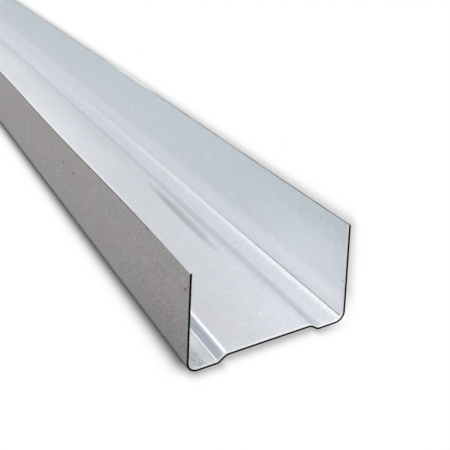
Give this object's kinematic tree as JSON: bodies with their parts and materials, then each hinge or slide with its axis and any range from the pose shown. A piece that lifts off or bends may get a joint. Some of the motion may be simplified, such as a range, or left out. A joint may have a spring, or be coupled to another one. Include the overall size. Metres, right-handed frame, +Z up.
{
  "type": "drywall track",
  "caption": "U-shaped galvanised steel drywall track with a raised web centre and plain flanges, fixed to floor or ceiling to hold the ends of partition studs.",
  "frame": {"origin": "middle of the track's length and width, on the floor plane under the web's edge strips", "axes": "+Y along the track, +Z up out of the open side, +X across the web"},
  "size_m": [0.048, 3, 0.03],
  "materials": {
    "galvanised_steel": "satin zinc coating, lightly mottled, bare sheared edges"
  },
  "bodies": {
    "root": {"track_channel": "galvanised_steel"}
  },
  "joints": []
}
